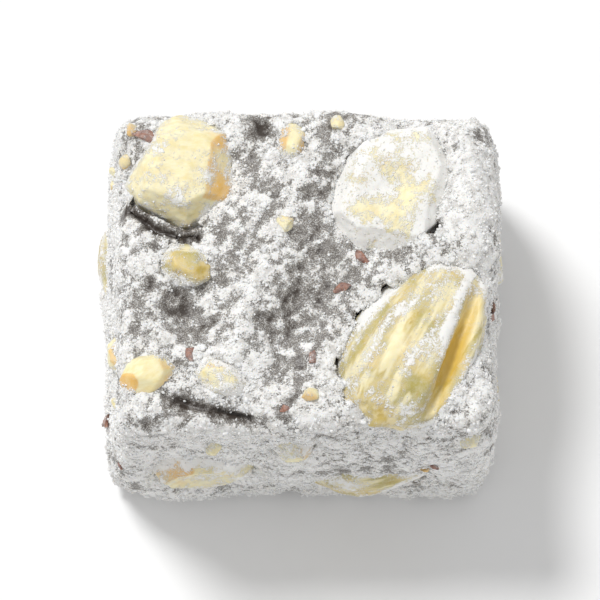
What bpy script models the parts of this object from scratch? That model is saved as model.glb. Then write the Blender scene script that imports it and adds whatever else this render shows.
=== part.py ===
"""Turkish delight cube: one cut cube of jelly with hazelnuts and pistachios set in its faces.

Metres, +Z up. The cube rests on its flat underside, with its width along X and its depth along
Y, and the origin is the middle of the underside. The jelly is one soft-edged solid that sags a
little over its base. Each nut is a solid of its own, in a pocket cut out of the jelly round it.
"""
import math
import random

import bmesh
import bpy
from mathutils import Matrix, Vector, noise
from mathutils.bvhtree import BVHTree

MM = 0.001
UP = Vector((0, 0, 1))

# The jelly's outline
WIDTH = 26.0 * MM
DEPTH = 23.0 * MM
HEIGHT = 21.0 * MM
EDGE_ROUND = 1.7 * MM  # round of the upright and the upper edges
BASE_ROUND = 1.2 * MM  # round of the lower edges
LEAN = (0.35 * MM, 0.05 * MM)  # how far the top stands off the base, along X and Y
GRID_CUTS = 13  # cuts along each edge of the grid that is bent into the jelly
GRID_CROWDING = 0.5  # share of the grid's spacing that closes up towards the edges

# The jelly's unevenness
WAVES = ((9.0 * MM, 0.60 * MM), (4.2 * MM, 0.28 * MM))  # wavelength and depth
BELLY = 0.55 * MM  # how far the sides swell out at BELLY_HEIGHT
BELLY_HEIGHT = 0.36 * HEIGHT
BELLY_REACH = 0.35 * HEIGHT
NUT_SWELL = 0.12  # height of the swelling round a nut, in half thicknesses of the nut
NUT_SWELL_REACH = 1.25  # and its reach, in half lengths of the nut
LIP = 0.35 * MM  # mean height of the lip that the knife leaves round the top
LIP_IN = 1.9 * MM  # distance of the lip's crest from the side faces
LIP_REACH = 1.3 * MM
LIP_PATCH = 5.0 * MM  # wavelength of the lip's thick and thin stretches

# Folds and hollows of the top, in millimetres across the face: the two ends of each, its half
# width and its height, which is below nought for a hollow.
TOP_FOLDS = (
    ((-5.0, -6.5), (0.5, 6.0), 1.3, 0.45),
    ((11.2, 2.0), (11.0, 8.5), 1.1, 0.45),
    ((-8.2, -3.6), (-6.8, -2.2), 2.0, -0.70),
    ((-2.2, -6.2), (-0.4, -3.6), 1.7, -0.65),
    ((1.0, 0.5), (3.0, -2.0), 1.4, -0.35),
    ((-2.6, 10.0), (-2.2, 8.6), 0.9, -0.60),
)

# The nuts' forms
FACET_SHARPNESS = 16  # power of the blend between a nut's faces
HALF_CUT = 0.46  # height of a half's cut face over its middle, in half thicknesses
HALF_TAPER = 0.10
HOLLOW_DEPTH = 0.60 * MM  # of the hollow in a half's cut face
HOLLOW_REACH = 0.42  # in half widths
KERNEL_TAPER = 0.16
SLIT_DEPTH = 1.0 * MM  # of the slit between a kernel's two leaves
SLIT_WIDTH = 0.60 * MM
SLIT_PLACE = -0.60  # across the kernel, in half widths
SLIT_SLANT = 0.16
SLIT_REACH = 0.66  # along the kernel, in half lengths
SLIT_CROWDING = 0.55  # how far the kernel's sides are drawn together at the slit
CHUNK_SIDES = 5  # broken faces round a chunk, besides its upper one
CHUNK_TOP = 0.76

# Broken faces of the two nuts that show most: their direction round the nut in degrees, their
# tilt upward and their distance from its middle in millimetres
BROKEN_FACES = {
    "hazelnut_chunk_top": (
        (5, 0.55, 3.2),
        (80, 0.20, 3.8),
        (152, 0.35, 2.7),
        (-117, 0.15, 3.3),
        (-48, 0.35, 3.5),
    ),
    "pistachio_kernel_top": ((-150, 0.10, 5.7),),
}

# The pockets, and the rings and sides of the nuts' and the pockets' meshes
POCKET_GAP = 0.42 * MM  # from a nut out to the wall of its pocket
MOUTH_RISE = 1.5 * MM  # how far a pocket's mouth is cut on outward
NUT_MESH = (9, 14)
BIT_MESH = (7, 10)

# Each face of the cube: its own X, its own Y and its outward direction
FACES = {
    "top": (Vector((1, 0, 0)), Vector((0, 1, 0)), Vector((0, 0, 1))),
    "front": (Vector((1, 0, 0)), Vector((0, 0, 1)), Vector((0, -1, 0))),
    "back": (Vector((-1, 0, 0)), Vector((0, 0, 1)), Vector((0, 1, 0))),
    "left": (Vector((0, -1, 0)), Vector((0, 0, 1)), Vector((-1, 0, 0))),
    "right": (Vector((0, 1, 0)), Vector((0, 0, 1)), Vector((1, 0, 0))),
}

# Name, kind, face, place on the face from its middle, spin in degrees, length, width, thickness
# and how far the nut stands out of the jelly, in millimetres
NUTS = (
    ("hazelnut_chunk_top", "chunk", "top", (-7.8, 6.6), 0, (8.2, 9.0, 4.8), 1.2),
    ("hazelnut_half_top", "half", "top", (6.0, 5.4), 50, (10.2, 7.6, 5.2), 0.9),
    ("pistachio_kernel_top", "kernel", "top", (7.6, -4.8), 60, (13.6, 8.6, 4.8), 1.5),
    ("hazelnut_sliver_top", "bit", "top", (-9.9, -7.1), 28, (5.2, 2.8, 2.4), 0.8),
    ("hazelnut_slice_top", "bit", "top", (-5.2, -7.4), -30, (5.4, 2.6, 2.2), 0.8),
    ("pistachio_bit_top", "bit", "top", (-7.6, 0.2), -8, (5.4, 3.0, 2.6), 0.9),
    ("hazelnut_bit_top", "bit", "top", (-0.6, 8.4), 75, (3.4, 2.3, 2.0), 0.6),
    ("hazelnut_half_front", "half", "front", (-6.3, -1.8), 25, (8.0, 7.0, 6.0), 0.4),
    ("pistachio_kernel_front", "kernel", "front", (5.0, -3.6), 18, (10.5, 5.2, 4.8), 0.7),
    ("hazelnut_chunk_front", "chunk", "front", (-0.6, 4.2), 60, (4.8, 4.0, 3.8), 0.5),
    ("pistachio_kernel_left", "kernel", "left", (-3.0, -3.4), 38, (10.0, 5.2, 4.6), 0.7),
    ("hazelnut_chunk_left", "chunk", "left", (4.4, 2.6), 15, (5.0, 4.4, 3.8), 0.5),
    ("hazelnut_half_right", "half", "right", (4.2, -0.8), 70, (8.0, 6.8, 5.6), 0.4),
    ("pistachio_chunk_right", "chunk", "right", (-5.0, -5.0), 30, (6.6, 4.4, 4.2), 0.5),
    ("hazelnut_half_back", "half", "back", (-3.0, 0.6), 120, (7.8, 6.6, 5.6), 0.4),
    ("pistachio_kernel_back", "kernel", "back", (6.6, -3.2), -22, (9.0, 5.0, 4.6), 0.7),
)

# Linear colour and roughness of each material
LOOKS = {
    "dusted_jelly": ((0.52, 0.50, 0.47), 0.85),
    "hazelnut": ((0.76, 0.62, 0.36), 0.60),
    "pistachio": ((0.62, 0.56, 0.24), 0.58),
}


def clear_scene():
    for item in list(bpy.data.objects):
        bpy.data.objects.remove(item, do_unlink=True)


def make_material(name):
    colour, roughness = LOOKS[name]
    material = bpy.data.materials.new(name)
    material.use_nodes = True
    shader = material.node_tree.nodes["Principled BSDF"]
    shader.inputs["Base Color"].default_value = (*colour, 1.0)
    shader.inputs["Roughness"].default_value = roughness
    shader.inputs["Metallic"].default_value = 0.0
    return material


def add_object(name, bm, material=None):
    """Links the bmesh as a named object, shaded smooth."""
    mesh = bpy.data.meshes.new(name)
    bm.to_mesh(mesh)
    bm.free()
    mesh.shade_smooth()
    if material:
        mesh.materials.append(material)
    item = bpy.data.objects.new(name, mesh)
    bpy.context.scene.collection.objects.link(item)
    return item


def hump(distance, reach):
    """A smooth hump: 1 at no distance, and close to 0 past twice the reach."""
    return math.exp(-((distance / reach) ** 2))


# ---- the nuts ----------------------------------------------------------------------------------


class Nut:
    """One nut: where it sits, and its outline as a distance from its middle in any direction."""

    def __init__(self, name, kind, face, place, spin, size, proud):
        self.name = name
        self.kind = kind
        self.half = [side * MM / 2 for side in size]
        self.proud = proud * MM
        self.cuts = self.cut_planes()
        across, up, self.out = FACES[face]
        to_face = Vector(self.out[i] * (WIDTH, DEPTH, HEIGHT)[i] / 2 for i in range(3))
        self.middle = UP * HEIGHT / 2 + to_face + (across * place[0] + up * place[1]) * MM
        self.turn = Matrix((across, up, self.out)).transposed().to_4x4()
        self.turn = self.turn @ Matrix.Rotation(math.radians(spin), 4, "Z")

    def cut_planes(self):
        """The flat faces of the nut, as normals and their distances from its middle."""
        thick = self.half[2]
        cuts = []
        if self.kind == "half":
            cuts.append((Vector((0.06, -0.04, 1.0)).normalized(), HALF_CUT * thick))
        if self.kind in ("chunk", "bit"):
            cuts.append((Vector((0.12, 0.08, 1.0)).normalized(), CHUNK_TOP * thick))
        for degrees, tilt, distance in BROKEN_FACES.get(self.name, ()):
            angle = math.radians(degrees)
            normal = Vector((math.cos(angle), math.sin(angle), tilt)).normalized()
            cuts.append((normal, distance * MM))
        if self.kind in ("half", "kernel") or self.name in BROKEN_FACES:
            return cuts
        draw = random.Random(self.name)
        for step in range(CHUNK_SIDES):
            angle = math.tau * (step + draw.uniform(-0.25, 0.25)) / CHUNK_SIDES
            tilt = draw.uniform(-0.15, 0.65)
            normal = Vector((math.cos(angle), math.sin(angle), tilt)).normalized()
            span = math.sqrt(sum((normal[i] * self.half[i]) ** 2 for i in range(3)))
            cuts.append((normal, span * draw.uniform(0.64, 0.88)))
        return cuts

    def seat(self, surface):
        """Sets the nut in the jelly, so that it stands out by its proud measure."""
        found = surface.ray_cast(self.middle + self.out * HEIGHT, -self.out)[0]
        self.middle = found + self.out * (self.proud - self.reach(UP))

    def reach(self, way):
        """Distance from the middle to the surface in the unit direction way."""
        along, side, up = (way[i] / self.half[i] for i in range(3))
        taper = 1.0 - {"kernel": KERNEL_TAPER, "half": HALF_TAPER}.get(self.kind, 0.0) * way.x
        total = (along**2 + (side / taper) ** 2 + (up / taper) ** 2) ** (FACET_SHARPNESS / 2)
        for normal, distance in self.cuts:
            total += (max(way.dot(normal), 0.0) / distance) ** FACET_SHARPNESS
        return total ** (-1.0 / FACET_SHARPNESS)

    def dent(self, point):
        """How far the surface at a local point is pressed in, by a slit or a hollow."""
        x, y, z = (point[i] / self.half[i] for i in range(3))
        if z <= 0:
            return 0.0
        if self.kind == "kernel":
            off_line = (y - SLIT_PLACE) * self.half[1] - SLIT_SLANT * point.x
            return SLIT_DEPTH * hump(off_line, SLIT_WIDTH) * hump(x, SLIT_REACH)
        if self.kind == "half":
            return HOLLOW_DEPTH * hump(math.hypot(x, y), HOLLOW_REACH)
        return 0.0

    def opening(self, point):
        """Raises what stands out of the jelly, so that the pocket's mouth has steep walls."""
        level = self.reach(UP) - self.proud
        return -MOUTH_RISE * min(1.0, max(0.0, point.z - level) / self.proud)

    def along_kernel(self, way):
        """Lays a sphere's poles along the kernel and draws its sides together at the slit."""
        slit = math.acos(SLIT_PLACE)
        angle = math.atan2(way.y, way.x)
        angle = slit + angle - SLIT_CROWDING * math.sin(angle)
        ring = math.hypot(way.x, way.y)
        return Vector((way.z, ring * math.cos(angle), ring * math.sin(angle)))

    def blow_up(self, margin, dent):
        """A sphere, blown up to the nut's outline and a margin and pressed in by the dent.

        Its poles are a kernel's two ends, or else the middles of the upper and the lower face.
        """
        rings, sides = BIT_MESH if self.kind == "bit" else NUT_MESH
        bm = bmesh.new()
        bmesh.ops.create_uvsphere(bm, u_segments=sides, v_segments=rings, radius=1.0)
        matrix = Matrix.Translation(self.middle) @ self.turn
        for vertex in bm.verts:
            way = vertex.co.normalized()
            if self.kind == "kernel":
                way = self.along_kernel(way)
            point = way * (self.reach(way) + margin)
            point.z -= dent(point)
            vertex.co = matrix @ point
        return bm

    def build(self):
        """The nut itself, in place."""
        return self.blow_up(0.0, self.dent)

    def build_room(self):
        """The room that the nut needs in the jelly: its form, grown by the gap and open outward."""
        return self.blow_up(POCKET_GAP, self.opening)


# ---- the jelly ---------------------------------------------------------------------------------


def soft_box(corner):
    """Bends a point of the cube from -1 to 1 on to the soft-edged box, and gives its direction."""
    half = Vector((WIDTH / 2, DEPTH / 2, HEIGHT / 2))
    crowded = [(1 - GRID_CROWDING) * t + GRID_CROWDING * math.sin(math.pi * t / 2) for t in corner]
    point = Vector(crowded[i] * half[i] for i in range(3))
    rounds = Vector((EDGE_ROUND, EDGE_ROUND, EDGE_ROUND if point.z > 0 else BASE_ROUND))
    core = Vector(max(-half[i] + rounds[i], min(half[i] - rounds[i], point[i])) for i in range(3))
    way = Vector((point[i] - core[i]) / rounds[i] for i in range(3)).normalized()
    point = core + Vector(way[i] * rounds[i] for i in range(3))
    return point + UP * HEIGHT / 2, way


def top_relief(point):
    """Height of the folds, the hollows and the lip round the edge at a point of the top."""
    height = 0.0
    for start, end, width, rise in TOP_FOLDS:
        foot = Vector(start) * MM
        run = Vector(end) * MM - foot
        gone = point.xy - foot
        share = max(0.0, min(1.0, gone.dot(run) / run.length_squared))
        height += rise * MM * hump((gone - run * share).length, width * MM)
    from_side = min(WIDTH / 2 - abs(point.x), DEPTH / 2 - abs(point.y))
    patch = 0.6 + 0.9 * noise.noise(point / LIP_PATCH)
    return height + LIP * patch * hump(from_side - LIP_IN, LIP_REACH)


def swelling(point, way, nuts):
    """How far the jelly stands out from the soft-edged box at a point."""
    out = sum(depth * noise.noise(point / length) for length, depth in WAVES)
    out += top_relief(point) * max(way.z, 0.0) ** 2
    out += BELLY * (1.0 - abs(way.z)) * hump(point.z - BELLY_HEIGHT, BELLY_REACH)
    for nut in nuts:
        distance = (point - nut.middle).length
        out += NUT_SWELL * nut.half[2] * hump(distance, NUT_SWELL_REACH * nut.half[0])
    return out


def build_jelly(nuts):
    """The jelly without its pockets, with a flat underside at z = 0."""
    bm = bmesh.new()
    bmesh.ops.create_cube(bm, size=2.0)
    bmesh.ops.subdivide_edges(bm, edges=bm.edges, cuts=GRID_CUTS, use_grid_fill=True)
    for vertex in bm.verts:
        point, way = soft_box(vertex.co)
        free = min(1.0, point.z / (2 * BASE_ROUND))
        vertex.co = point + way * swelling(point, way, nuts) * free
        vertex.co.xy += Vector(LEAN) * (point.z / HEIGHT) ** 2
    fit_to_size(bm)
    return bm


def fit_to_size(bm):
    """Stretches the body by a hair so that it measures WIDTH by DEPTH by HEIGHT from z = 0."""
    size = (WIDTH, DEPTH, HEIGHT)
    start = (-WIDTH / 2, -DEPTH / 2, 0.0)
    for i in range(3):
        low = min(vertex.co[i] for vertex in bm.verts)
        high = max(vertex.co[i] for vertex in bm.verts)
        for vertex in bm.verts:
            vertex.co[i] = start[i] + size[i] * (vertex.co[i] - low) / (high - low)


def stand_on_origin(pieces):
    """Moves the pieces together until the middle of their common underside is the origin."""
    points = [vertex.co for bm in pieces for vertex in bm.verts]
    middle = [(min(p[i] for p in points) + max(p[i] for p in points)) / 2 for i in range(2)]
    shift = Vector((-middle[0], -middle[1], 0.0))
    for bm in pieces:
        bmesh.ops.translate(bm, verts=bm.verts, vec=shift)
    return shift


def cut_pocket(body, name, room):
    """Cuts the room for one nut out of the jelly."""
    cutter = add_object(f"{name}_pocket", room)
    cutter.hide_render = True
    cutter.display_type = "WIRE"
    cut = body.modifiers.new(cutter.name, "BOOLEAN")
    cut.operation = "DIFFERENCE"
    cut.solver = "EXACT"
    cut.object = cutter


def main():
    clear_scene()
    materials = {name: make_material(name) for name in LOOKS}
    nuts = [Nut(*row) for row in NUTS]
    jelly = build_jelly(nuts)
    surface = BVHTree.FromBMesh(jelly)
    for nut in nuts:
        nut.seat(surface)
    kernels = [nut.build() for nut in nuts]
    rooms = [nut.build_room() for nut in nuts]
    shift = stand_on_origin([jelly, *kernels])
    body = add_object("jelly", jelly, materials["dusted_jelly"])
    for nut, kernel, room in zip(nuts, kernels, rooms):
        bmesh.ops.translate(room, verts=room.verts, vec=shift)
        cut_pocket(body, nut.name, room)
        add_object(nut.name, kernel, materials[nut.name.split("_")[0]])


main()
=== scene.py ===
"""Looks of the turkish delight cube: powdered jelly with hazelnuts and pistachios in its faces.

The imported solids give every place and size. Each solid is remeshed finely, given its surface
relief and a procedural material, and then strewn with grains of powdered sugar.
"""
import math

import bmesh
import bpy
import numpy as np
from mathutils import Matrix, Vector, noise
from mathutils.bvhtree import BVHTree


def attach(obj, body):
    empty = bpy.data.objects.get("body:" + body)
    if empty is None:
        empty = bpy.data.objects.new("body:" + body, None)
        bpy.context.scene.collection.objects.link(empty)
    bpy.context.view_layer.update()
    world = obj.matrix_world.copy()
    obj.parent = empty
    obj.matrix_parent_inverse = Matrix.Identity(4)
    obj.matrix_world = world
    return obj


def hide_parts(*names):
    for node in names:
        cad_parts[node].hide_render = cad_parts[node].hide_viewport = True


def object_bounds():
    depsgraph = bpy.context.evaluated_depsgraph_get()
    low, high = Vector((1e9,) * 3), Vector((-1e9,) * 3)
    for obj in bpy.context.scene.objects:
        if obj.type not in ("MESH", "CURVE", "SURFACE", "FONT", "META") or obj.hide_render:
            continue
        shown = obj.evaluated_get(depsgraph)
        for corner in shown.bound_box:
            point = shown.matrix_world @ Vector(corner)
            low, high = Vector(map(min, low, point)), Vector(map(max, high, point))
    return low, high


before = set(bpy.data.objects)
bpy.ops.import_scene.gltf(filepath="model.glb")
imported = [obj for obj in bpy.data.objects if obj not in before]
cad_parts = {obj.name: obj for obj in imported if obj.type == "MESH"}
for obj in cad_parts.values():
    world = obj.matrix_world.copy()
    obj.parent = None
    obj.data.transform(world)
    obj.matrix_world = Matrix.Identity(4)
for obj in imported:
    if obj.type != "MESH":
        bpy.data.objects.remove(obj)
cad_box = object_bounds()

MM = 0.001
SEED = 11

# Camera: the photograph's long view, from the front and steeply above
FIELD_OF_VIEW = 3.0
ELEVATION = 77.0
FILL = 0.68  # share of the frame's width that the cube takes

# Fineness of the remeshed solids
SKIN_VOXEL = 0.218 * MM
NUT_VOXEL = 0.15 * MM

# Light: the key light's way, strength and width in degrees, and the even light of the sky
KEY_WAY = (0.30, -0.36, -0.88)
KEY_STRENGTH = 2.0
KEY_WIDTH = 14.0
SKY_STRENGTH = 0.60
FLOOR_RADIUS = 1.4

# How many loose bits of each kind there are, and how many broken faces a crumb has
CLUMPS = 2300
GRAINS = 7800
GRAINS_ON_A_NUT = 240
SIDE_CRUMBS = 9
SIDE_FLAKES = 10
CRUMB_FACETS = 8

# Each face's own X and Y and its outward direction. A nut's node name ends with its face.
FACES = {
    "top": ((1, 0, 0), (0, 1, 0), (0, 0, 1)),
    "front": ((1, 0, 0), (0, 0, 1), (0, -1, 0)),
    "back": ((-1, 0, 0), (0, 0, 1), (0, 1, 0)),
    "left": ((0, -1, 0), (0, 0, 1), (-1, 0, 0)),
    "right": ((0, 1, 0), (0, 0, 1), (1, 0, 0)),
}

# How each nut is turned on its face in degrees, and how much of it the powder hides. Then, for all
# but the kernels, the side of it that is most roasted, in degrees round the nut, and how roasted
# the rest is.
NUT_LOOKS = {
    "hazelnut_chunk_top": (0, 0.31, 5, 0.08),
    "hazelnut_half_top": (50, 0.52, 165, 0.0),
    "pistachio_kernel_top": (60, 0.35),
    "hazelnut_sliver_top": (28, 0.00, 180, 0.38),
    "hazelnut_slice_top": (-30, 0.40, 120, 0.16),
    "pistachio_bit_top": (-8, 0.31, -30, 0.0),
    "hazelnut_bit_top": (75, 0.20, 90, 0.38),
    "hazelnut_half_front": (25, 0.42, 120, 0.10),
    "pistachio_kernel_front": (18, 0.38),
    "hazelnut_chunk_front": (60, 0.40, -40, 0.20),
    "pistachio_kernel_left": (38, 0.42),
    "hazelnut_chunk_left": (15, 0.36, 80, 0.12),
    "hazelnut_half_right": (70, 0.44, -60, 0.0),
    "pistachio_chunk_right": (30, 0.38, 200, 0.0),
    "hazelnut_half_back": (120, 0.46, 20, 0.14),
    "pistachio_kernel_back": (-22, 0.40),
}

# Crumbs of nut and flakes of its red-brown skin on the top, in millimetres from its middle
TOP_CRUMBS = ((-11.4, 7.4), (-11.0, 9.4), (0.6, -8.6), (-0.8, 2.9), (2.4, 9.6))
TOP_FLAKES = ((4.0, 0.6), (2.8, -1.3), (0.8, -6.1), (-1.0, -9.4), (-7.3, -5.8), (-9.9, 8.8))


# ---- helpers -----------------------------------------------------------------------------------


def face_of(name):
    """The axes of the face that the named nut is set in."""
    return FACES[name.rsplit("_", 1)[1]]


def smoothstep(low, high, value):
    """A soft step from 0 at low to 1 at high, or the other way round where low is the higher."""
    t = np.clip((value - low) / (high - low), 0.0, 1.0)
    return t * t * (3 - 2 * t)


def hump(distance, reach):
    """1 where the distance is nought, fading out past the reach."""
    return np.exp(-((distance / reach) ** 2))


def field(points, size, seed=0.0):
    """Smooth noise from about -1 to 1 at each point, with features of that size."""
    shift = Vector((seed * 7.31, seed * 3.17, seed * 5.53))
    return np.array([noise.noise(Vector(p) + shift) for p in points / size])


def rough_field(points, size, seed=0.0, octaves=3):
    """Noise with finer noise on top of it."""
    total, weight, part = 0.0, 0.0, 1.0
    for step in range(octaves):
        total = total + part * field(points, size / 2**step, seed + step)
        weight += part
        part *= 0.6
    return total / weight


def points_of(mesh):
    flat = np.empty(len(mesh.vertices) * 3, np.float32)
    mesh.vertices.foreach_get("co", flat)
    return flat.reshape(-1, 3).astype(float)


def normals_of(mesh):
    flat = np.empty(len(mesh.vertices) * 3, np.float32)
    mesh.vertex_normals.foreach_get("vector", flat)
    return flat.reshape(-1, 3).astype(float)


def set_points(mesh, points):
    mesh.vertices.foreach_set("co", points.astype(np.float32).ravel())
    mesh.update()


def edges_of(mesh):
    flat = np.empty(len(mesh.edges) * 2, np.int32)
    mesh.edges.foreach_get("vertices", flat)
    return flat.reshape(-1, 2)


def relax(points, edges, rounds, pull=0.5, push=-0.52):
    """Evens out the surface without shrinking it."""
    count = np.bincount(edges.ravel(), minlength=len(points))[:, None]
    for step in range(rounds * 2):
        total = np.zeros_like(points)
        for axis in range(3):
            total[:, axis] += np.bincount(edges[:, 0], points[edges[:, 1], axis], len(points))
            total[:, axis] += np.bincount(edges[:, 1], points[edges[:, 0], axis], len(points))
        points = points + (push if step % 2 else pull) * (total / count - points)
    return points


def remeshed(node, voxel):
    """A finely and evenly meshed copy of a CAD solid."""
    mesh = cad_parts[node].data.copy()
    bm = bmesh.new()
    bm.from_mesh(mesh)
    bmesh.ops.remove_doubles(bm, verts=bm.verts, dist=1e-7)
    bm.to_mesh(mesh)
    bm.free()
    rough = bpy.data.objects.new("rough", mesh)
    bpy.context.scene.collection.objects.link(rough)
    remesh = rough.modifiers.new("remesh", "REMESH")
    remesh.mode = "VOXEL"
    remesh.voxel_size = voxel
    seen = rough.evaluated_get(bpy.context.evaluated_depsgraph_get())
    fine = bpy.data.meshes.new_from_object(seen)
    bpy.data.objects.remove(rough)
    fine.materials.clear()
    for name in [a.name for a in fine.attributes if a.name.startswith("custom")]:
        fine.attributes.remove(fine.attributes[name])
    drop_specks(fine)
    return fine


def drop_specks(mesh):
    """Removes the small specks that remeshing can leave apart from the solid."""
    edges = edges_of(mesh)
    island = np.arange(len(mesh.vertices))
    settled = False
    while not settled:
        before = island.copy()
        least = island[edges].min(axis=1)
        np.minimum.at(island, edges[:, 0], least)
        np.minimum.at(island, edges[:, 1], least)
        island = island[island]
        settled = (island == before).all()
    stray = np.flatnonzero(island != np.bincount(island).argmax())
    bm = bmesh.new()
    bm.from_mesh(mesh)
    bm.verts.ensure_lookup_table()
    bmesh.ops.delete(bm, geom=[bm.verts[i] for i in stray], context="VERTS")
    bm.to_mesh(mesh)
    bm.free()


def tree_of(mesh):
    return BVHTree.FromPolygons(
        [v.co for v in mesh.vertices], [tuple(p.vertices) for p in mesh.polygons]
    )


def set_mask(mesh, name, values):
    mask = mesh.attributes.new(name, "FLOAT", "POINT")
    mask.data.foreach_set("value", np.asarray(values, np.float32))


def set_grain(mesh, places):
    """Places in a nut's own axes, for looks that run along it."""
    grain = mesh.attributes.new("grain", "FLOAT_VECTOR", "POINT")
    grain.data.foreach_set("vector", places.astype(np.float32).ravel())


def get_values(mesh, name, kind, width):
    """The values of a mask or a vector field, one row for each point."""
    flat = np.empty(len(mesh.vertices) * width, np.float32)
    mesh.attributes[name].data.foreach_get(kind, flat)
    return flat.reshape(-1, width).astype(float)


def add_piece(name, mesh, material, slot, *nodes):
    """A visible piece that rides on the cube's one body."""
    mesh.name = name
    mesh.materials.clear()
    mesh.materials.append(material)
    mesh.shade_smooth()
    piece = bpy.data.objects.new(name, mesh)
    bpy.context.scene.collection.objects.link(piece)
    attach(piece, "root")
    if nodes:
        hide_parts(*nodes)
    return piece


# ---- materials ---------------------------------------------------------------------------------


class Graph:
    """A Principled material whose inputs are driven by small nets of nodes."""

    def __init__(self, name):
        self.material = bpy.data.materials.new(name)
        self.material.use_nodes = True
        self.nodes = self.material.node_tree.nodes
        self.links = self.material.node_tree.links
        self.shader = self.nodes["Principled BSDF"]
        self.place = self.nodes.new("ShaderNodeTexCoord").outputs["Object"]

    def feed(self, socket, value):
        if isinstance(value, bpy.types.NodeSocket):
            self.links.new(value, socket)
        elif isinstance(value, (tuple, list)) and len(value) == 3 and socket.type == "RGBA":
            socket.default_value = (*value, 1.0)
        else:
            socket.default_value = value

    def noise(self, size, detail=2.0, roughness=0.5, place=None, warp=0.0):
        """Noise from 0 to 1 with features of that size."""
        node = self.nodes.new("ShaderNodeTexNoise")
        self.feed(node.inputs["Vector"], place or self.place)
        node.inputs["Scale"].default_value = 1 / size
        node.inputs["Detail"].default_value = detail
        node.inputs["Roughness"].default_value = roughness
        node.inputs["Distortion"].default_value = warp
        return node.outputs["Fac"]

    def mask(self, name, output="Fac"):
        node = self.nodes.new("ShaderNodeAttribute")
        node.attribute_name = name
        return node.outputs[output]

    def math(self, operation, a, b=0.0, clamp=False):
        node = self.nodes.new("ShaderNodeMath")
        node.operation = operation
        node.use_clamp = clamp
        self.feed(node.inputs[0], a)
        self.feed(node.inputs[1], b)
        return node.outputs[0]

    def step(self, value, low, high, to_low=0.0, to_high=1.0):
        """Value taken smoothly from low..high to to_low..to_high."""
        node = self.nodes.new("ShaderNodeMapRange")
        node.interpolation_type = "SMOOTHSTEP"
        self.feed(node.inputs["Value"], value)
        node.inputs["From Min"].default_value = low
        node.inputs["From Max"].default_value = high
        node.inputs["To Min"].default_value = to_low
        node.inputs["To Max"].default_value = to_high
        return node.outputs["Result"]

    def mix(self, share, a, b):
        node = self.nodes.new("ShaderNodeMix")
        node.data_type = "RGBA"
        self.feed(node.inputs[0], share)
        self.feed(node.inputs[6], a)
        self.feed(node.inputs[7], b)
        return node.outputs[2]

    def swung(self, value, noise, reach):
        """Value moved up and down by the noise."""
        swing = self.math("MULTIPLY", self.math("SUBTRACT", noise, 0.5), reach)
        return self.math("ADD", value, swing)

    def stretch(self, vector, scale):
        node = self.nodes.new("ShaderNodeVectorMath")
        node.operation = "MULTIPLY"
        self.feed(node.inputs[0], vector)
        node.inputs[1].default_value = scale
        return node.outputs[0]

    def evened_and_painted_lighter_below(self, value, least):
        """Value as it is on the top, and on the sides never under the least one. This evens the
        sides' powder and paints it lighter, as painted light where the sides get less of the key
        light.
        """
        node = self.nodes.new("ShaderNodeSeparateXYZ")
        self.feed(node.inputs[0], self.place)
        top = cad_box[1].z
        bound = self.step(node.outputs["Z"], top - 4.0 * MM, top - 2.0 * MM, least, 0.0)
        return self.math("MAXIMUM", value, bound)

    def bump(self, height, depth, normal=None):
        node = self.nodes.new("ShaderNodeBump")
        node.inputs["Strength"].default_value = 1.0
        node.inputs["Distance"].default_value = depth
        self.feed(node.inputs["Height"], height)
        if normal:
            self.feed(node.inputs["Normal"], normal)
        return node.outputs[0]

    def finish(self, colour, roughness, normal=None, subsurface=0.0, reach=0.6 * MM):
        self.feed(self.shader.inputs["Base Color"], colour)
        self.feed(self.shader.inputs["Roughness"], roughness)
        if normal:
            self.feed(self.shader.inputs["Normal"], normal)
        if subsurface:
            self.shader.inputs["Subsurface Weight"].default_value = subsurface
            self.shader.inputs["Subsurface Radius"].default_value = (1.0, 0.8, 0.6)
            self.shader.inputs["Subsurface Scale"].default_value = reach
        return self.material


POWDER = (0.86, 0.855, 0.84)
POWDER_SHADE = (0.62, 0.605, 0.58)
GRAIN_LIGHT = (0.91, 0.905, 0.89)
GRAIN_SHADE = (0.73, 0.715, 0.69)
JELLY_DARK = (0.052, 0.040, 0.032)
JELLY_HAZE = (0.215, 0.198, 0.178)  # the dark jelly under a thin film of powder
HAZELNUT_CREAM = (0.82, 0.70, 0.34)
HAZELNUT_PALE = (0.90, 0.83, 0.53)
HAZELNUT_ROASTED = (0.78, 0.47, 0.11)
PISTACHIO_YELLOW = (0.66, 0.50, 0.15)
PISTACHIO_GREEN = (0.44, 0.37, 0.09)
PISTACHIO_PALE = (0.83, 0.74, 0.43)
PISTACHIO_BROWN = (0.42, 0.29, 0.05)
PISTACHIO_SLIT = (0.73, 0.50, 0.08)
NUT_SKIN_DARK = (0.15, 0.045, 0.025)
NUT_SKIN_LIGHT = (0.34, 0.13, 0.07)


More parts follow.
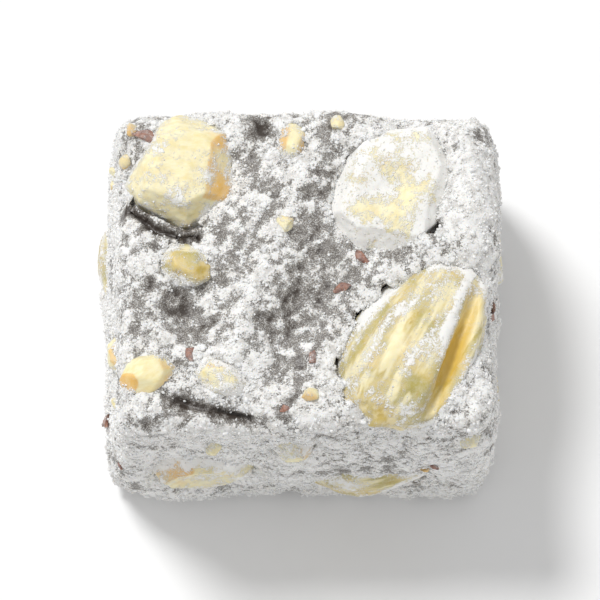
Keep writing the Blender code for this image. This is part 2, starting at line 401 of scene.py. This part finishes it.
def jelly_material():
    """Dark translucent jelly under a patchy coat of powder, thick where the mask is high. The mask
    also paints shade where it is low in the creases and the gaps, and light where it is high on the
    ridges and the right edge.
    """
    g = Graph("dusted_jelly_look")
    fine = g.noise(0.34 * MM, 3.0, 0.62, warp=0.4)
    grit = g.noise(0.11 * MM, 2.0, 0.6)
    specks = g.noise(0.075 * MM, 1.0, 0.5)
    cover = g.swung(g.swung(g.mask("dust"), fine, 1.3), grit, 0.8)
    film = g.step(cover, -0.25, 0.50)
    thick = g.step(cover, 0.36, 0.66)
    colour = g.mix(film, JELLY_DARK, JELLY_HAZE)
    scatter = g.math("MULTIPLY", g.step(specks, 0.50, 0.62), g.math("MULTIPLY", film, 0.55))
    colour = g.mix(scatter, colour, POWDER)
    tone = g.math("MULTIPLY", g.noise(0.50 * MM, 2.0, 0.6), 0.8)
    tone = g.math("ADD", g.math("MULTIPLY", grit, 0.5), tone)
    # on the sides the powder is kept pale and even: painted light
    powder = g.mix(g.evened_and_painted_lighter_below(g.step(tone, 0.48, 0.74), 0.7), POWDER_SHADE, POWDER)
    colour = g.mix(thick, colour, powder)
    roughness = g.step(cover, 0.0, 0.5, 0.30, 0.92)
    height = g.math("ADD", g.math("MULTIPLY", thick, 0.8), g.math("MULTIPLY", grit, 0.6))
    return g.finish(colour, roughness, g.bump(height, 0.05 * MM), 0.2)


def powder_material():
    """Loose powder, as clumps and grains."""
    g = Graph("powder_look")
    grit = g.noise(0.08 * MM, 2.0, 0.6)
    shade = g.noise(0.50 * MM, 2.0, 0.6)
    # on the sides the grains are kept pale and even: painted light
    light = g.evened_and_painted_lighter_below(g.step(shade, 0.36, 0.60), 0.6)
    colour = g.mix(light, GRAIN_SHADE, GRAIN_LIGHT)
    return g.finish(colour, 0.93, g.bump(grit, 0.02 * MM), 0.2)


def dusted(g, colour, roughness, height):
    """Lays powder over a nut's own colour where the nut's mask is high."""
    fine = g.noise(0.36 * MM, 3.0, 0.6, warp=0.5)
    grit = g.noise(0.10 * MM, 2.0, 0.6)
    cover = g.swung(g.swung(g.mask("dust"), fine, 1.0), grit, 0.9)
    thick = g.step(cover, 0.38, 0.70, 0.0, 0.94)
    colour = g.mix(g.step(cover, -0.1, 0.5, 0.0, 0.22), colour, POWDER)
    colour = g.mix(thick, colour, POWDER)
    roughness = g.step(cover, 0.2, 0.6, roughness, 0.92)
    normal = g.bump(g.math("ADD", g.math("MULTIPLY", thick, 0.9), height), 0.05 * MM)
    return g.finish(colour, roughness, normal, 0.12)


def hazelnut_material():
    """Cream nut flesh with amber roasted patches."""
    g = Graph("hazelnut_look")
    along = g.stretch(g.mask("grain", "Vector"), (0.45, 1.0, 1.0))
    broad = g.noise(2.6 * MM, 2.0, 0.5, along)
    fibre = g.noise(0.45 * MM, 3.0, 0.6, along)
    flesh = g.mix(g.step(fibre, 0.3, 0.7), HAZELNUT_CREAM, HAZELNUT_PALE)
    roast = g.swung(g.mask("edge"), broad, 1.9)
    colour = g.mix(g.step(roast, 0.35, 0.95), flesh, HAZELNUT_ROASTED)
    return dusted(g, colour, 0.48, g.math("MULTIPLY", fibre, 0.5))


def pistachio_material():
    """Yellow-green nut flesh with paler streaks along it and an amber slit."""
    g = Graph("pistachio_look")
    along = g.stretch(g.mask("grain", "Vector"), (0.16, 1.0, 1.0))
    streak = g.noise(0.75 * MM, 2.0, 0.55, along)
    broad = g.noise(2.4 * MM, 2.0)
    stroke = g.noise(0.55 * MM, 2.0, 0.5, g.stretch(along, (1.0, 1.0, 1.3)))
    flesh = g.mix(g.step(broad, 0.38, 0.62), PISTACHIO_YELLOW, PISTACHIO_GREEN)
    colour = g.mix(g.step(streak, 0.44, 0.60), flesh, PISTACHIO_PALE)
    colour = g.mix(g.step(stroke, 0.60, 0.70, 0.0, 0.7), colour, PISTACHIO_BROWN)
    colour = g.mix(g.mask("edge"), colour, PISTACHIO_SLIT)
    return dusted(g, colour, 0.45, g.math("MULTIPLY", streak, 0.6))


def flake_material():
    """Red-brown papery skin of the nuts."""
    g = Graph("nut_skin_look")
    vein = g.noise(0.35 * MM, 3.0)
    colour = g.mix(g.step(vein, 0.35, 0.65), NUT_SKIN_DARK, NUT_SKIN_LIGHT)
    return dusted(g, colour, 0.5, g.math("MULTIPLY", vein, 0.4))


# ---- nuts --------------------------------------------------------------------------------------

# The slit between a kernel's two leaves, and the lip that stands up beside it
SLIT_PLACE = -0.60  # across the kernel, in half widths, as in the solid
SLIT_SLANT = 0.16
SLIT_DEPTH = 0.60 * MM
SLIT_WIDTH = 0.34 * MM
LIP_PLACE = 0.85 * MM  # from the slit's line
LIP_HEIGHT = 0.26 * MM
LIP_WIDTH = 0.42 * MM
LIP_POWDER_AND_HIGHLIGHT_PLACE = 0.95 * MM  # where a white band of powder lies along the lip's far half, also a painted highlight on the lip
LIP_POWDER_AND_HIGHLIGHT_WIDTH = 0.36 * MM

# How roasted each broken face of a nut is, from its most roasted side on
FACET_ROAST = (0.62, 0.0, 0.0, 0.30, 0.0, 0.0)

# How noise is drawn out along a kernel: its wrinkles, and the powder on it
WRINKLE_DRAW = np.array([0.16, 1.0, 1.0])
KERNEL_DRAW = np.array([0.35, 1.0, 1.0])


def nut_axes(name, points):
    """The nut's own axes as rows, its middle and its half sizes along them."""
    across, up, out = (Vector(v) for v in face_of(name))
    turn = Matrix.Rotation(math.radians(NUT_LOOKS[name][0]), 3, out)
    axes = np.array([turn @ across, turn @ up, out])
    local = points @ axes.T
    low, high = local.min(0), local.max(0)
    return axes, (low + high) / 2, (high - low) / 2


def chisel(local, half, angle, tilt, share):
    """Breaks a flat face off the nut, and tells how near each point is to lying on it."""
    normal = np.array([math.cos(angle), math.sin(angle), tilt])
    normal /= np.linalg.norm(normal)
    over = local @ normal - share * np.linalg.norm(normal * half)
    return local - np.maximum(over, 0.0)[:, None] * normal, smoothstep(-0.12 * MM, 0.02 * MM, over)


def shape_nut(name):
    """The fine mesh of one nut with its surface relief, and its edge and grain masks."""
    mesh = remeshed(name, NUT_VOXEL)
    points = relax(points_of(mesh), edges_of(mesh), 10)
    axes, middle, half = nut_axes(name, points)
    local = points @ axes.T - middle
    kind = name.split("_")[1]
    draw = np.random.default_rng([SEED, *name.encode()])
    if kind == "kernel":
        edge = shape_kernel(mesh, local, half, axes, middle, draw)
    else:
        local, edge = break_nut(name, kind, local, half, draw)
        set_points(mesh, (local + middle) @ axes)
    points, normals = points_of(mesh), normals_of(mesh)
    seed = draw.uniform(0, 40)
    rise = 0.13 * rough_field(points, 1.5 * MM, seed) + 0.04 * field(points, 0.42 * MM, seed + 3)
    points = points + normals * (rise * MM)[:, None]
    set_points(mesh, points)
    set_mask(mesh, "edge", edge)
    set_grain(mesh, points @ axes.T - middle)
    return mesh


def break_nut(name, kind, local, half, draw):
    """Breaks faces off a nut all round, and tells how roasted each point is."""
    _, _, roasted_side, roast = NUT_LOOKS[name]
    edge = np.full(len(local), roast)
    if kind == "half":
        edge += hollow_ring(local / half)
    share = 1.0 if kind == "half" else 0.85
    facets = len(FACET_ROAST)
    for step in range(facets):
        turn = math.tau * (step + draw.uniform(-0.2, 0.2)) / facets
        angle = math.radians(roasted_side) + turn
        tilt = draw.uniform(0.55, 1.1)
        local, flat = chisel(local, half, angle, tilt, share + draw.uniform(-0.05, 0.05))
        edge += FACET_ROAST[step] * flat
    return local, edge


def hollow_ring(share):
    """Darker flesh in a ring round the hollow of a half's cut face."""
    from_hollow = np.hypot(share[:, 0], share[:, 1]) - 0.40
    return 0.42 * hump(from_hollow, 0.20) * (share[:, 2] > 0)


def shape_kernel(mesh, local, half, axes, middle, draw):
    """Wrinkles a pistachio along its length and opens the slit between its leaves."""
    set_points(mesh, (local + middle) @ axes)
    normals = normals_of(mesh) @ axes.T
    along, aside, up = (local / half).T
    upper = smoothstep(-0.1, 0.2, up)
    off_line = (aside - SLIT_PLACE) * half[1] - SLIT_SLANT * local[:, 0]
    slit = hump(off_line, SLIT_WIDTH) * upper * hump(along, 0.70)
    lip = hump(off_line - LIP_PLACE, LIP_WIDTH) * upper * hump(along, 0.75)
    rise = 0.11 * MM * field(local * WRINKLE_DRAW, 0.85 * MM, seed=draw.uniform(0, 40))
    rise += LIP_HEIGHT * lip - SLIT_DEPTH * slit
    set_points(mesh, (local + normals * rise[:, None] + middle) @ axes)
    far_half = smoothstep(-0.35, 0.15, along)
    # the lip's white band: powder, and a painted highlight on the raised lip
    set_mask(mesh, "lip", hump(off_line - LIP_POWDER_AND_HIGHLIGHT_PLACE, LIP_POWDER_AND_HIGHLIGHT_WIDTH) * far_half)
    amber = 0.95 * hump(off_line + 0.1 * MM, 0.50 * MM) * upper * hump(along - 0.12, 0.62)
    return amber + 0.45 * smoothstep(-0.70, -0.95, along)


def dust_nut(name, mesh, skin_tree):
    """Powder lies thick where the nut dips into the jelly, in patches and along a kernel's lip,
    where the white band is also a painted highlight.
    """
    points = points_of(mesh)
    near = np.array([skin_tree.find_nearest(Vector(p))[3] for p in points])
    if "kernel" in name:
        local = get_values(mesh, "grain", "vector", 3)
        patch = 0.80 * rough_field(local * KERNEL_DRAW, 1.5 * MM, seed=len(name) + 20)
        patch -= 0.30 * get_values(mesh, "edge", "value", 1)[:, 0]
        # more powder along the lip, which also paints its highlight
        patch += 0.55 * get_values(mesh, "lip", "value", 1)[:, 0]
    else:
        patch = 0.75 * rough_field(points, 1.6 * MM, seed=len(name) + 20)
    rim = 0.42 * hump(near, 1.0 * MM) if "half" in name else 0.30 * hump(near, 0.5 * MM)
    dust = NUT_LOOKS[name][1] + patch + rim
    set_mask(mesh, "dust", dust)
    return dust


# ---- the jelly's skin --------------------------------------------------------------------------

# How noise is drawn out: folds and the knife's streaks upward, and the top's speckle aslant
FOLD_DRAW = np.array([1.0, 1.0, 0.75])
KNIFE_DRAW = np.array([1.0, 1.0, 0.10])
ASLANT = np.array([math.cos(math.radians(57)), math.sin(math.radians(57)), 0.0])

# How the skin clings: fully within the first distance of a nut, not at all past the second
CLING = (0.5 * MM, 1.4 * MM)
OVERLAP = 0.12 * MM
COLLAR = 0.42 * MM  # height of the jelly drawn up round a nut
COLLAR_REACH = 0.75 * MM

# Places on the top, in millimetres, where the jelly stands off a nut and leaves a dark gap,
# and how far the gap reaches. The gap's walls are also left bare of powder, so the dark jelly
# shows there as painted shade.
GAPS = (
    ((-10.6, 3.7), 1.2),
    ((-8.9, 2.9), 1.2),
    ((-7.0, 2.6), 1.0),
    ((8.7, 2.6), 0.8),
    ((2.3, -6.4), 0.7),
    ((3.9, -3.2), 0.7),
    ((5.2, -0.9), 0.6),
    ((-0.6, 9.6), 0.6),
)

# Creases in the top, in millimetres: their points and how deep and how wide they are. The powder is
# also thinned along them by their depth, so they show as dark lines of bare jelly: painted shade in
# the creases.
CREASES = (
    (((-8.0, -9.0), (-6.2, -9.5), (-3.4, -10.2)), 0.75, 0.42),
    (((-11.5, 4.3), (-9.4, 2.5), (-6.8, 2.0)), 0.80, 0.36),
    (((-2.6, 10.3), (-2.3, 9.3)), 0.70, 0.50),
    (((-2.4, -3.6), (-0.9, -5.4), (-1.6, -7.2)), 0.14, 0.60),
    (((-9.6, -1.3), (-7.4, -1.9), (-5.3, -0.6)), 0.22, 0.45),
)
# Ridges in the top, in millimetres, given as the creases. Powder lies thicker along them by their
# height, and along the right edge this is also painted light.
RIDGES = (
    (((-5.0, -6.5), (-2.6, -0.5), (0.2, 6.0)), 0.22, 0.60),
    (((10.8, 1.5), (11.2, 5.0), (10.9, 8.8)), 0.20, 0.55),
)

# Where the top's powder lies thinner, in millimetres: the place, its reach and by how much,
# which is below nought where it lies thicker. The two thicker spots on the right edge paint it
# paler, as painted light where that edge faces away from the key light.
THIN_SPOTS_AND_PAINTED_LIGHT = (
    ((-2.0, -3.2), 2.2, 0.17),
    ((-7.6, -3.2), 1.9, 0.12),
    ((-10.6, -1.2), 1.0, 0.15),
    ((1.8, -3.2), 1.7, 0.30),
    ((-3.8, 6.2), 1.4, 0.08),
    # painted light: the right edge made paler by thicker powder
    ((11.4, 5.6), 2.8, -0.50),
    ((11.8, -0.6), 2.2, -0.36),
)


def along_lines(points, lines):
    """How strongly each point feels the lines, each with its own height and half width."""
    total = np.zeros(len(points))
    for stops, height, width in lines:
        nearest = np.full(len(points), 1.0)
        for start, end in zip(stops, stops[1:]):
            foot, run = np.array(start) * MM, (np.array(end) - np.array(start)) * MM
            gone = points[:, :2] - foot
            share = np.clip(gone @ run / (run @ run), 0.0, 1.0)
            nearest = np.minimum(nearest, np.linalg.norm(gone - share[:, None] * run, axis=1))
        total += height * MM * hump(nearest, width * MM)
    return total


def from_place(points, place):
    """Distance in plan from each point to a place given in millimetres."""
    return np.hypot(points[:, 0] - place[0] * MM, points[:, 1] - place[1] * MM)


def gaps_at(points):
    """1 where the jelly stands off a nut, and 0 elsewhere."""
    is_top = points[:, 2] > cad_box[1].z - 3.0 * MM
    gap = np.zeros(len(points))
    for place, reach in GAPS:
        gap = np.maximum(gap, hump(from_place(points, place), reach * MM) * is_top)
    return smoothstep(0.25, 0.6, gap)


def cling_to_nuts(points, edges, nut_tree, nut_outs):
    """Draws the pockets' walls on to the nuts and raises a collar round each nut's mouth."""
    hits = [nut_tree.find_nearest(Vector(p)) for p in points]
    near = np.array([h[3] for h in hits])
    toward = (np.array([h[0] for h in hits]) - points) / np.maximum(near, 1e-9)[:, None]
    outs = nut_outs[[h[2] for h in hits]]
    gap = gaps_at(points)
    cling = smoothstep(CLING[1], CLING[0], near) * (1 - gap)
    points = points + toward * ((near + OVERLAP) * cling)[:, None]
    patch = 0.8 + 0.7 * rough_field(points, 1.3 * MM, seed=3, octaves=2)
    collar = COLLAR * hump(near, COLLAR_REACH) * patch * (1 - gap)
    points = points + outs * collar[:, None]
    return relax(points, edges, 2), near, gap


class Skin:
    """What shapes and dusts the jelly's surface at each of its points."""

    def __init__(self, points, normals, near, gap):
        low, high = np.array(cad_box[0]), np.array(cad_box[1])
        from_sides = np.sort(np.minimum(points - low, high - points), axis=1)
        self.points = points
        self.near = near
        # the gap's walls, which the powder mask leaves bare as painted shade
        self.gap = gap * smoothstep(0.75, 0.3, normals[:, 2])
        self.near_edge = hump(from_sides[:, 1], 2.6 * MM)
        self.on_top = smoothstep(0.3, 0.7, normals[:, 2]) * (points[:, 2] > high[2] / 2)
        self.on_side = smoothstep(0.6, 0.2, np.abs(normals[:, 2]))
        self.creases = along_lines(points, CREASES) * self.on_top
        self.ridges = along_lines(points, RIDGES) * self.on_top
        folds = 1 - 2.4 * np.abs(rough_field(points * FOLD_DRAW, 3.4 * MM, seed=5))
        self.folds = smoothstep(0.3, 1.0, folds)
        self.knife = field(points * KNIFE_DRAW, 0.75 * MM, seed=61) * self.on_side

    def speckle(self):
        """Fine patches of thick and thin powder, drawn out aslant on the top."""
        aslant = self.points - 0.18 * (self.points @ ASLANT)[:, None] * ASLANT
        top = 0.52 * field(aslant, 0.84 * MM, seed=14)
        top += 0.70 * field(aslant, 0.45 * MM, seed=15)
        side = 0.50 * field(self.points, 0.95 * MM, seed=14)
        side += 0.65 * field(self.points, 0.52 * MM, seed=15)
        return side + (top - side) * self.on_top

    def dust(self):
        """Depth of the powder: it hides the jelly above about 0.6 and is a thin film below 0.3. It
        also carries painted shade, taken off in the creases and on the gaps' walls, and painted
        light, added on the ridges.
        """
        patch = rough_field(self.points, 4.2 * MM, seed=31, octaves=2)
        dust = 0.37 + 0.19 * self.near_edge + 0.24 * self.folds
        dust += (0.20 + 0.16 * self.on_side) * patch + (0.74 - 0.38 * self.on_side) * self.speckle()
        dust += (0.13 + 0.20 * self.knife) * self.on_side
        for place, reach, less in THIN_SPOTS_AND_PAINTED_LIGHT:
            dust -= less * hump(from_place(self.points, place), reach * MM) * self.on_top
        dust += 0.18 * hump(self.near - 0.6 * MM, 0.6 * MM)
        # less powder in the creases and the gaps is painted shade; more on the ridges is partly
        # painted light
        return dust + 1.4 * (self.ridges - self.creases) / MM - 0.8 * self.gap

    def rise(self, dust):
        """How far the surface stands out, for its waves, folds, lumps, streaks and powder."""
        waves = rough_field(self.points, 5.5 * MM, seed=41, octaves=2)
        lumps = rough_field(self.points, 1.7 * MM, seed=9)
        rise = 0.30 * waves + 0.20 * self.folds * (0.5 + 0.9 * self.near_edge)
        rise += (0.12 - 0.05 * self.on_side) * lumps
        rise += 0.16 * np.clip(dust - 0.35, -0.5, 0.7) + 0.07 * self.knife
        free = 0.35 + 0.65 * smoothstep(0.1 * MM, 0.6 * MM, self.near)
        return rise * MM * free + self.ridges - self.creases


def shape_skin(nut_tree, nut_outs):
    """The jelly's fine mesh: it clings to the nuts, and carries a crust of powder."""
    mesh = remeshed("jelly", SKIN_VOXEL)
    edges = edges_of(mesh)
    points = relax(points_of(mesh), edges, 24)
    points, near, gap = cling_to_nuts(points, edges, nut_tree, nut_outs)
    set_points(mesh, points)
    normals = normals_of(mesh)
    skin = Skin(points, normals, near, gap)
    dust = skin.dust()
    base = cad_box[0].z
    grip = smoothstep(0.0, 1.2 * MM, points[:, 2] - base)
    points = points + normals * (skin.rise(dust) * grip)[:, None]
    points[:, 2] = np.maximum(points[:, 2], base)
    set_points(mesh, points)
    set_mask(mesh, "dust", dust)
    return mesh, dust


# ---- powder grains -----------------------------------------------------------------------------


def ico_grain(level):
    bm = bmesh.new()
    bmesh.ops.create_icosphere(bm, subdivisions=level, radius=1.0)
    points = np.array([v.co for v in bm.verts])
    faces = np.array([[v.index for v in f.verts] for f in bm.faces])
    bm.free()
    return points, faces


def random_turns(draw, count):
    """Rotation matrices, evenly spread."""
    q = draw.normal(size=(count, 4))
    q /= np.linalg.norm(q, axis=1)[:, None]
    w, x, y, z = q.T
    rows = [
        [1 - 2 * (y * y + z * z), 2 * (x * y - z * w), 2 * (x * z + y * w)],
        [2 * (x * y + z * w), 1 - 2 * (x * x + z * z), 2 * (y * z - x * w)],
        [2 * (x * z - y * w), 2 * (y * z + x * w), 1 - 2 * (x * x + y * y)],
    ]
    return np.array(rows).transpose(2, 0, 1)


def spots_on(mesh, weights, count, draw):
    """Random points on the mesh, denser where the weights are high, with their normals."""
    mesh.calc_loop_triangles()
    flat = np.empty(len(mesh.loop_triangles) * 3, np.int32)
    mesh.loop_triangles.foreach_get("vertices", flat)
    corners = flat.reshape(-1, 3)
    points = points_of(mesh)
    a, b, c = (points[corners[:, i]] for i in range(3))
    normals = np.cross(b - a, c - a)
    area = np.linalg.norm(normals, axis=1)
    odds = area * weights[corners].mean(axis=1)
    chosen = draw.choice(len(corners), count, p=odds / odds.sum())
    u, v = draw.random((2, count))
    flip = u + v > 1
    u[flip], v[flip] = 1 - u[flip], 1 - v[flip]
    spots = a[chosen] + u[:, None] * (b - a)[chosen] + v[:, None] * (c - a)[chosen]
    return spots, (normals / np.maximum(area, 1e-30)[:, None])[chosen]


def grains_mesh(name, spots, normals, sizes, draw, level, sink, ragged, flat=1.0):
    """One mesh of many small lumps, each sunk into the surface by that share of its size.

    A lump is as thick as its size times flat, and lies with its flat side on the surface.
    """
    form, faces = ico_grain(level)
    count = len(spots)
    shape = form[None] * (1 + ragged * draw.uniform(-1, 1, (count, len(form), 1)))
    shape = shape * draw.uniform(0.55, 1.2, (count, 1, 3))
    shape = np.einsum("nij,nkj->nki", random_turns(draw, count), shape)
    height = np.einsum("nki,ni->nk", shape, normals)
    shape = shape - (1 - flat) * height[:, :, None] * normals[:, None]
    middle = spots + normals * (sizes * flat * (0.5 - sink))[:, None]
    points = middle[:, None] + shape * (sizes / 2)[:, None, None]
    joined = faces[None] + (np.arange(count) * len(form))[:, None, None]
    mesh = bpy.data.meshes.new(name)
    mesh.from_pydata(points.reshape(-1, 3).tolist(), [], joined.reshape(-1, 3).tolist())
    return mesh


def clear_of(tree, points):
    """Distance from each point to the closed surface of the tree, below nought inside it."""
    found = []
    for point in points:
        place, normal, _, distance = tree.find_nearest(Vector(point))
        found.append(math.copysign(distance, (Vector(point) - place).dot(normal)))
    return np.array(found)


def grain_sizes(draw, count, least, more, power):
    """Sizes from the least up, in millimetres, with the larger ones rare."""
    return (least + more * draw.random(count) ** power) * MM


def strew_on_jelly(skin, dust, nut_tree, powder, draw):
    """Clumps, grains and fines of powder where the jelly's coat is thick."""
    points = points_of(skin)
    clear = clear_of(nut_tree, points)
    open_air = smoothstep(-0.02 * MM, 0.08 * MM, clear)
    open_air *= 1 + 0.8 * hump(clear - 0.15 * MM, 0.3 * MM)
    open_air *= smoothstep(0.5 * MM, 1.2 * MM, points[:, 2] - cad_box[0].z)
    thick = smoothstep(0.35, 1.0, dust) * open_air
    thin = smoothstep(0.1, 0.8, dust) * open_air

    spots, normals = spots_on(skin, thick, CLUMPS, draw)
    sizes = grain_sizes(draw, CLUMPS, 0.18, 0.28, 2)
    form = {"level": 2, "sink": 0.46, "ragged": 0.36, "flat": 0.8}
    mesh = grains_mesh("powder_clumps", spots, normals, sizes, draw, **form)
    add_piece("powder_clumps", mesh, powder, "dusted_jelly")

    for name, weights in (("powder_grains", thick), ("powder_fines", thin)):
        spots, normals = spots_on(skin, weights, GRAINS, draw)
        sizes = grain_sizes(draw, GRAINS, 0.09, 0.14, 1.6)
        mesh = grains_mesh(name, spots, normals, sizes, draw, level=1, sink=0.3, ragged=0.42)
        add_piece(name, mesh, powder, "dusted_jelly")


def strew_on_nuts(nuts, nut_dust, powder, draw):
    """Grains of powder on the crowns of the nuts, as one piece."""
    all_spots, all_normals = [], []
    for name, mesh in nuts.items():
        out = np.array(face_of(name)[2])
        crown = smoothstep(0.1, 0.5, normals_of(mesh) @ out)
        weights = smoothstep(0.2, 0.9, nut_dust[name]) * crown + 1e-5
        spots, normals = spots_on(mesh, weights, GRAINS_ON_A_NUT, draw)
        all_spots.append(spots)
        all_normals.append(normals)
    spots, normals = np.concatenate(all_spots), np.concatenate(all_normals)
    sizes = grain_sizes(draw, len(spots), 0.06, 0.12, 2)
    form = {"level": 1, "sink": 0.3, "ragged": 0.42, "flat": 0.8}
    mesh = grains_mesh("powder_on_nuts", spots, normals, sizes, draw, **form)
    add_piece("powder_on_nuts", mesh, powder, "dusted_jelly")


def crumb_spots(skin, skin_tree, nut_tree, places, count, draw):
    """The named places on the top, and that many more at random on the sides."""
    spots, normals = [], []
    for x, y in places:
        found = skin_tree.ray_cast(Vector((x * MM, y * MM, 1.0)), Vector((0, 0, -1)))
        spots.append(found[0])
        normals.append(found[1])
    points = points_of(skin)
    near = np.array([nut_tree.find_nearest(Vector(p))[3] for p in points])
    height = points[:, 2]
    on_side = (height < cad_box[1].z - 2.5 * MM) * (height > 1.5 * MM) * (near > 1.5 * MM)
    more, more_normals = spots_on(skin, on_side + 1e-9, count, draw)
    return np.array([*spots, *more]), np.array([*normals, *more_normals])


def strew_crumbs(skin, skin_tree, nut_tree, looks, draw):
    """Small crumbs of nut, and flakes of its skin, on the top and the sides."""
    spots, normals = crumb_spots(skin, skin_tree, nut_tree, TOP_CRUMBS, SIDE_CRUMBS, draw)
    sizes = draw.uniform(0.9, 1.9, len(spots)) * MM
    form = {"level": 3, "sink": 0.50, "ragged": 0.0, "flat": 0.7}
    mesh = grains_mesh("nut_crumbs", spots, normals, sizes, draw, **form)
    finish_crumbs(mesh, len(spots), dust=0.44, share=0.70, draw=draw)
    add_piece("nut_crumbs", mesh, looks["hazelnut"], "hazelnut")

    spots, normals = crumb_spots(skin, skin_tree, nut_tree, TOP_FLAKES, SIDE_FLAKES, draw)
    sizes = draw.uniform(1.2, 2.3, len(spots)) * MM
    form = {"level": 3, "sink": 0.30, "ragged": 0.0, "flat": 0.22}
    mesh = grains_mesh("skin_flakes", spots, normals, sizes, draw, **form)
    finish_crumbs(mesh, len(spots), dust=0.28, share=0.50, draw=draw)
    add_piece("skin_flakes", mesh, flake_material(), "hazelnut")


def finish_crumbs(mesh, count, dust, share, draw):
    """Gives crumbs the broken faces, the unevenness and the masks of the big nuts."""
    crumbs = points_of(mesh).reshape(count, -1, 3)
    for crumb in crumbs:
        middle = (crumb.min(0) + crumb.max(0)) / 2
        for _ in range(CRUMB_FACETS):
            normal = draw.normal(size=3)
            normal /= np.linalg.norm(normal)
            over = (crumb - middle) @ normal
            over -= share * draw.uniform(0.75, 1.0) * over.max()
            crumb -= np.maximum(over, 0.0)[:, None] * normal
    set_points(mesh, crumbs.reshape(-1, 3))
    points = points_of(mesh)
    normals = normals_of(mesh)
    rise = 0.10 * MM * rough_field(points, 0.6 * MM, seed=51)
    set_points(mesh, points + normals * rise[:, None])
    set_mask(mesh, "dust", dust + 0.45 * rough_field(points, 0.9 * MM, seed=52))
    set_mask(mesh, "edge", 0.5 + 0.8 * field(points, 3.0 * MM, seed=53))
    set_grain(mesh, points)


# ---- the stage ---------------------------------------------------------------------------------


def build_stage():
    """A plain pale floor."""
    g = Graph("floor_look")
    tone = g.noise(0.05, 2.0)
    floor_look = g.finish(g.mix(tone, (0.88, 0.88, 0.88), (0.91, 0.91, 0.91)), 0.8)
    bm = bmesh.new()
    bmesh.ops.create_circle(bm, cap_ends=True, segments=96, radius=FLOOR_RADIUS)
    mesh = bpy.data.meshes.new("floor")
    bm.to_mesh(mesh)
    bm.free()
    mesh.materials.append(floor_look)
    floor = bpy.data.objects.new("floor", mesh)
    bpy.context.scene.collection.objects.link(floor)


def build_lights():
    """Even light from all round, and one broad key light from above on the far left."""
    world = bpy.data.worlds.new("studio")
    world.use_nodes = True
    sky = world.node_tree.nodes["Background"]
    sky.inputs["Color"].default_value = (1.0, 1.0, 1.0, 1.0)
    sky.inputs["Strength"].default_value = SKY_STRENGTH
    bpy.context.scene.world = world
    sun = bpy.data.lights.new("key", "SUN")
    sun.energy = KEY_STRENGTH
    sun.angle = math.radians(KEY_WIDTH)
    key = bpy.data.objects.new("key", sun)
    key.rotation_euler = Vector(KEY_WAY).to_track_quat("-Z", "Y").to_euler()
    bpy.context.scene.collection.objects.link(key)


def build_camera():
    """A long lens that looks at the cube from the front and steeply above."""
    low, high = cad_box
    centre = (low + high) / 2
    lens = bpy.data.cameras.new("camera")
    lens.angle = math.radians(FIELD_OF_VIEW)
    camera = bpy.data.objects.new("camera", lens)
    rise = math.radians(ELEVATION)
    back = Vector((0, -math.cos(rise), math.sin(rise)))
    distance = (high.x - low.x) / FILL / (2 * math.tan(lens.angle / 2))
    camera.location = centre + back * distance
    camera.rotation_euler = (-back).to_track_quat("-Z", "Y").to_euler()
    lens.clip_start = 0.01
    lens.clip_end = 5.0
    bpy.context.scene.collection.objects.link(camera)
    bpy.context.scene.camera = camera


# ---- making the cube ---------------------------------------------------------------------------


def nuts_joined(nuts):
    """One search tree of all the nuts, and the outward direction of each of its faces."""
    points, faces, outs = [], [], []
    for name, mesh in nuts.items():
        start = len(points)
        points += [v.co.copy() for v in mesh.vertices]
        faces += [tuple(start + i for i in p.vertices) for p in mesh.polygons]
        outs += [face_of(name)[2]] * len(mesh.polygons)
    return BVHTree.FromPolygons(points, faces), np.array(outs, float)


def build_cube():
    """The jelly's skin, the nuts, and the powder and crumbs strewn on them."""
    looks = {"hazelnut": hazelnut_material(), "pistachio": pistachio_material()}
    powder = powder_material()
    draw = np.random.default_rng(SEED)
    nuts = {name: shape_nut(name) for name in NUT_LOOKS}
    nut_tree, nut_outs = nuts_joined(nuts)
    skin, dust = shape_skin(nut_tree, nut_outs)
    skin_tree = tree_of(skin)
    add_piece("jelly_skin", skin, jelly_material(), "dusted_jelly", "jelly")
    nut_dust = {}
    for name, mesh in nuts.items():
        nut_dust[name] = dust_nut(name, mesh, skin_tree)
        kind = name.split("_")[0]
        add_piece(f"{name}_fine", mesh, looks[kind], kind, name)
    strew_on_jelly(skin, dust, nut_tree, powder, draw)
    strew_on_nuts(nuts, nut_dust, powder, draw)
    strew_crumbs(skin, skin_tree, nut_tree, looks, draw)


def main():
    build_camera()
    build_stage()
    build_lights()
    bpy.context.scene.view_settings.view_transform = "Standard"
    build_cube()


main()
